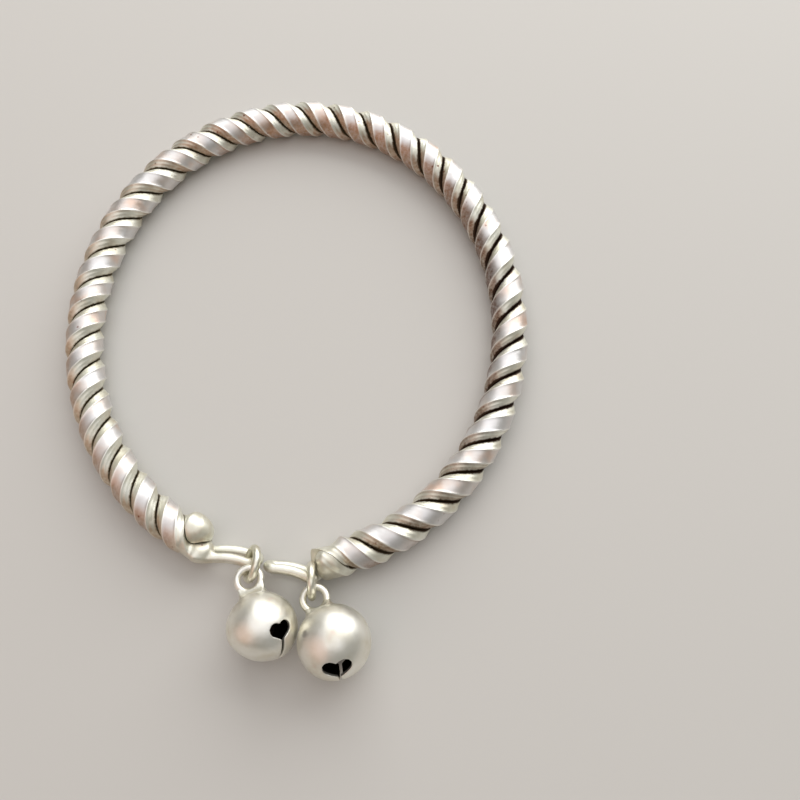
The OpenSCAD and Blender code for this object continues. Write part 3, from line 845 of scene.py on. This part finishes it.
# where the neck's block starts in the shell: shares of the fillet's width and of the bell's radius. Then the
# fillet's steps, and how near to the neck's top they come
NECK_FOOT, NECK_DEEP, FILLET_STEPS, FILLET_SHORT = 0.8, 0.72, 14, 0.02
# how finely the bells' starting shapes are made
ROUND_STEPS, ROUND_RINGS, EYE_WIRE_STEPS, TURNED_STEPS = 128, 64, 36, 96
# cutters reach this far out of the shell, and points nearer than this after a spin are made one
CLEAR, MERGE_NECK, MERGE_RING = 1, 0.001, 0.0005


def facing(heading, droop):
    return Matrix.Rotation(math.radians(heading), 4, "Z") @ Matrix.Rotation(math.radians(-90 - droop), 4, "X")


def heart_outline(width):
    spread, point, lobe_x = (share * width for share in (HEART_SPREAD, HEART_POINT, HEART_LOBE_X))
    lobe_r = width / 2 - spread
    to_lobe = math.hypot(lobe_x - point, spread)
    slope = math.degrees(math.atan2(spread, lobe_x - point) + math.asin(lobe_r / to_lobe))
    upper = [(lobe_x + lobe_r * cosd(a), spread + lobe_r * sind(a))
             for a in np.linspace(90 + slope, -math.degrees(math.asin(spread / lobe_r)), LOBE_STEPS)]
    return [(point, 0)] + upper + [(x, -y) for x, y in upper[-2::-1]]


def heart_cutter(bell_r, width, angle, roll):
    outline = heart_outline(width)
    cutter = primitive("heart_cutter", "circle", vertices=len(outline), radius=1, fill_type="NGON")
    for vertex, (x, y) in zip(cutter.data.vertices, outline):
        vertex.co = (x, y, -bell_r - CLEAR)
    drawn_out(bpy.ops.mesh.extrude_region_move,
              TRANSFORM_OT_translate={"value": (0, 0, CLEAR + HEART_DEPTH)})
    cutter.data.transform(Matrix.Rotation(math.radians(roll), 4, "Z")
                          @ Matrix.Rotation(math.radians(-angle), 4, "Y"))
    return cutter


def slit_cutter(bell_r, angle):
    half = bell_r * sind(angle)
    top, bottom = -bell_r * cosd(angle), -bell_r - CLEAR
    return primitive("slit_cutter", "cube", size=1, location=(0, 0, (top + bottom) / 2),
                     scale=(2 * half, SLIT_W, top - bottom))


def neck_block(bell_r, eye_h):
    """Neck between shell and eye, turned from a profile, then thinned on both sides."""
    neck_top = eye_h - NECK_LENGTH
    wide_r = NECK_HALF + NECK_FILLET
    wide_z = math.sqrt((bell_r + NECK_FILLET - FILLET_SINK) ** 2 - wide_r ** 2)
    foot_r, foot_z = wide_r * NECK_FOOT, bell_r * NECK_DEEP
    profile = [(0, foot_z), (foot_r, foot_z)]
    low = math.degrees(math.asin((wide_r - foot_r) / NECK_FILLET))
    fillet = [(wide_r - NECK_FILLET * cosd(a), wide_z - NECK_FILLET * sind(a))
              for a in np.linspace(90 - low, 0, FILLET_STEPS)]
    profile += [(r, z) for r, z in fillet if z < neck_top - FILLET_SHORT]
    profile += [(profile[-1][0], neck_top), (0, neck_top)]
    neck = primitive("bell_neck", "circle", vertices=len(profile), radius=1, fill_type="NOTHING")
    for vertex, (r, z) in zip(neck.data.vertices, profile):
        vertex.co = (r, 0, z)
    drawn_out(bpy.ops.mesh.spin, MERGE_NECK, steps=TURNED_STEPS, angle=2 * math.pi, center=(0, 0, 0),
              axis=(0, 0, 1))
    side_y = EYE_WIRE_R - FILLET_SINK / 2 + NECK_SIDE_FILLET
    side_z = math.sqrt((bell_r + NECK_SIDE_FILLET - FILLET_SINK) ** 2 - side_y ** 2)
    for side in (-1, 1):
        cylinder = primitive("side_cutter", "cylinder", vertices=TURNED_STEPS, radius=NECK_SIDE_FILLET,
                             depth=4 * NECK_HALF, location=(0, side * side_y, side_z),
                             rotation=(0, math.pi / 2, 0))
        cut_or_join(neck, cylinder, "DIFFERENCE")
    hole = primitive("eye_cutter", "cylinder", vertices=TURNED_STEPS, radius=EYE_R - EYE_WIRE_R / 2,
                     depth=2 * bell_r, location=(0, 0, eye_h), rotation=(math.pi / 2, 0, 0))
    cut_or_join(neck, hole, "DIFFERENCE")
    return neck


VOXEL = 0.093
SKIN_WEAR = 5
# points this near to the shell's two spheres, and fading out over so much, are put back on them
SNAP_NEAR, SNAP_FADE = 0.02, 0.05
# depth and size of the shell's swells and of finer ripples, and how deep and over how much they fade inwards
SWELLS, SHELL_RIPPLES, SWELL_SKIN, SWELL_FADE = (0.028, 5.0), (0.010, 1.8), 0.35, 0.25
INSIDE_FADE = 0.14
# dents: direction from the bell's centre, how far out they start, how deep they go
LEFT_DENTS = [((-0.22, -0.97, 0.05), 2.2, 0.42)]
RIGHT_DENTS = [((-0.55, -0.35, 0.75), 4.2, 0.05)]


def dented(points, way, reach, deep):
    """Pushes the shell in along a direction: from reach millimetres out it sinks by up to deep."""
    way = unit(np.array(way))
    out = points @ way
    return points - way * (deep * ease((out - reach) / (out.max() - reach)))[:, None]


def bell(name, bell_place, mouth, dents, seed, replaced):
    centre_point, heading, droop, eye_h = bell_place
    bell_r = centre_point[2]
    shell = primitive(name, "uv_sphere", segments=ROUND_STEPS, ring_count=ROUND_RINGS, radius=bell_r)
    cut_or_join(shell, neck_block(bell_r, eye_h), "UNION")
    eye = primitive("bell_eye", "torus", major_segments=TURNED_STEPS, minor_segments=EYE_WIRE_STEPS,
                    major_radius=EYE_R, minor_radius=EYE_WIRE_R, location=(0, 0, eye_h),
                    rotation=(math.pi / 2, 0, 0))
    cut_or_join(shell, eye, "UNION")
    hollow = primitive("bell_hollow", "uv_sphere", segments=ROUND_STEPS, ring_count=ROUND_RINGS,
                       radius=bell_r - BELL_WALL)
    cut_or_join(shell, hollow, "DIFFERENCE")
    frame_turn = facing(heading, droop)
    mouth_turn = (frame_turn.inverted() @ facing(mouth[0], mouth[1])
                  @ Matrix.Rotation(math.radians(mouth[2]), 4, "Z"))
    for cutter in (heart_cutter(bell_r, mouth[4], mouth[3], 0), heart_cutter(bell_r, mouth[4], mouth[3], 180),
                   slit_cutter(bell_r, mouth[3])):
        cutter.data.transform(mouth_turn)
        cut_or_join(shell, cutter, "DIFFERENCE")
    # an even fine skin over the whole, whose lips and joints are then worn round
    apply_modifier(shell, "skin", "REMESH", mode="VOXEL", voxel_size=VOXEL, adaptivity=0.0,
                   use_smooth_shade=True)
    apply_modifier(shell, "wear", "SMOOTH", factor=0.5, iterations=SKIN_WEAR)
    points = vertex_places(shell)
    radius = np.linalg.norm(points, axis=1)
    for sphere_r in (bell_r, bell_r - BELL_WALL):
        hold = 1 - ease((np.abs(radius - sphere_r) - SNAP_NEAR) / SNAP_FADE)
        points += points / radius[:, None] * (hold * (sphere_r - radius))[:, None]
    radius = np.linalg.norm(points, axis=1)
    sink = uneven(points, seed, SWELLS, SHELL_RIPPLES) * ease((radius - (bell_r - SWELL_SKIN)) / SWELL_FADE)
    points -= points / radius[:, None] * sink[:, None]
    points = points @ np.array(frame_turn.to_3x3()).T
    for dent in dents:
        points = dented(points, *dent)
    shell.data.vertices.foreach_set("co", points.reshape(-1))
    # where the painted shade lies: 1 on the shell's inner sphere, fading out over INSIDE_FADE
    inside = 1 - ease((radius - (bell_r - BELL_WALL)) / INSIDE_FADE)
    layer = shell.data.attributes.new("inside", "FLOAT", "POINT")
    layer.data.foreach_set("value", inside.astype(np.float32))
    placed_piece(shell, Matrix.Translation(Vector(centre_point)), BELL)
    return finish_piece(shell, replaced)


# ---------------------------------------- jump rings
def bell_axis(b):
    level = np.array([-sind(b[1]), cosd(b[1]), 0])
    return cosd(b[2]) * level - sind(b[2]) * UP


def eye_across(b):
    return np.array([cosd(b[1]), sind(b[1]), 0])


# butt joint's gap and least angle of a sharp edge, in degrees, and steps round the wire and the ring
JOINT_GAP, SHARP_EDGE, RING_WIRE_STEPS, RING_STEPS = 3.0, 40, 32, 120


def ring_place(pin, pass_by, bell_place, lean):
    """Middle of a ring and its own three directions, from where it passes the hairpin and the bell's eye."""
    slot = pin[0] + pass_by[0] * pin_dir(pin) + pass_by[1] * near_dir(pin)
    eye = (bell_place[0] + (bell_place[3] + pass_by[2]) * bell_axis(bell_place)
           + pass_by[3] * eye_across(bell_place))
    chord = eye - slot
    e = unit(chord)
    rise = unit(UP - (UP @ e) * e)
    across = np.cross(rise, e)
    across = -across if across[0] < 0 else across
    lean_to = cosd(lean) * rise + sind(lean) * across
    middle = (slot + eye) / 2 + math.sqrt(RING_R ** 2 - chord @ chord / 4) * lean_to
    axis = unit(np.cross(e, lean_to))
    x = unit(lean_to)
    return middle, x, np.cross(axis, x), axis


def jump_ring(name, pin, pass_by, bell_place, lean, joint_at, replaced):
    middle, x, y, axis = ring_place(pin, pass_by, bell_place, lean)
    # wire section, spun round to a butt joint that doesn't quite close
    ring = primitive(name, "circle", vertices=RING_WIRE_STEPS, radius=RING_WIRE_R, fill_type="NGON",
                     location=(RING_R, 0, 0), rotation=(math.pi / 2, 0, 0))
    drawn_out(bpy.ops.mesh.spin, MERGE_RING, steps=RING_STEPS, angle=math.radians(360 - JOINT_GAP),
              center=(0, 0, 0), axis=(0, 0, 1))
    frame_matrix = Matrix([[x[i], y[i], axis[i], middle[i]] for i in range(3)] + [[0, 0, 0, 1]])
    placed_piece(ring, frame_matrix @ Matrix.Rotation(math.radians(joint_at), 4, "Z"), RING)
    only(ring)
    bpy.ops.object.shade_smooth_by_angle(angle=math.radians(SHARP_EDGE))
    return finish_piece(ring, replaced)


# depth and size of the hollows in a pellet's crust, as a share of its radius and in millimetres
CRUST = (0.05, 1.4)


def pellet(name, bell_place, seed, replaced):
    shot = primitive(name, "ico_sphere", subdivisions=5, radius=PELLET_R)
    points = vertex_places(shot)
    points *= (1 - uneven(points, seed, CRUST))[:, None]
    shot.data.vertices.foreach_set("co", points.reshape(-1))
    at = (bell_place[0][0], bell_place[0][1], BELL_WALL + PELLET_PLAY + PELLET_R)
    placed_piece(shot, Matrix.Translation(at), PELLET)
    return finish_piece(shot, replaced)


plain_strand(eyed_strand())
jump_ring("jump_ring_on_left_eye", LEFT_PIN, LEFT_PASS, LEFT_BELL, LEFT_RING_LEAN, 200, "jump_ring_left")
jump_ring("jump_ring_on_right_eye", RIGHT_PIN, RIGHT_PASS, RIGHT_BELL, RIGHT_RING_LEAN, 160,
          "jump_ring_right")
bell("bell_shell_left", LEFT_BELL, LEFT_MOUTH, LEFT_DENTS, 31, "bell_left")
bell("bell_shell_right", RIGHT_BELL, RIGHT_MOUTH, RIGHT_DENTS, 41, "bell_right")
pellet("iron_pellet_left", LEFT_BELL, 51, "pellet_left")
pellet("iron_pellet_right", RIGHT_BELL, 61, "pellet_right")


# ---------------------------------------- floor, light and camera
def floor():
    plane = primitive("studio_floor", "plane", size=4.0)
    material, tree = blank("pale_matte_board")
    shader = add(tree, SURFACE, None, Base_Color=linear("#CBC9C4"), Roughness=0.9)
    add(tree, OUTPUT, None, Surface=shader)
    plane.data.materials.append(material)


def lamp(name, way, distance, width, height, power, colour):
    """A rectangular lamp that shines at the bangle's middle from a direction and distance in metres."""
    data = bpy.data.lights.new(name, "AREA")
    data.shape = "RECTANGLE"
    data.size, data.size_y = width, height
    data.energy = power
    data.color = linear(colour)[:3]
    lamp_object = linked(name, data)
    way = Vector(way).normalized()
    lamp_object.location = way * distance
    lamp_object.rotation_euler = way.to_track_quat("Z", "Y").to_euler()


floor()
lamp("window", (0.35, 0.85, 0.55), 0.50, 0.80, 0.50, 2.9, "#FFFFFF")
lamp("ceiling", (0.0, 0.1, 1.0), 0.60, 0.80, 0.80, 1.9, "#F1EFF4")
lamp("warm_fill", (-0.71, -0.45, 0.54), 0.60, 0.60, 0.60, 0.55, "#FFD0C0")

world = bpy.data.worlds.new("studio")
bpy.context.scene.world = world
world.use_nodes = True
light = world.node_tree.nodes["Background"].inputs
light["Color"].default_value = linear("#D2D0C8")
light["Strength"].default_value = 0.45
bpy.context.scene.view_settings.view_transform = "Standard"

camera_data = bpy.data.cameras.new("photo_camera")
camera_data.lens = 36.9
camera_data.sensor_width = 36
camera_data.clip_start = 0.002
camera = linked("photo_camera", camera_data)
camera.location = (0.0158, -0.055297, 0.117912)
camera.rotation_euler = (math.radians(20), 0, 0)
bpy.context.scene.camera = camera
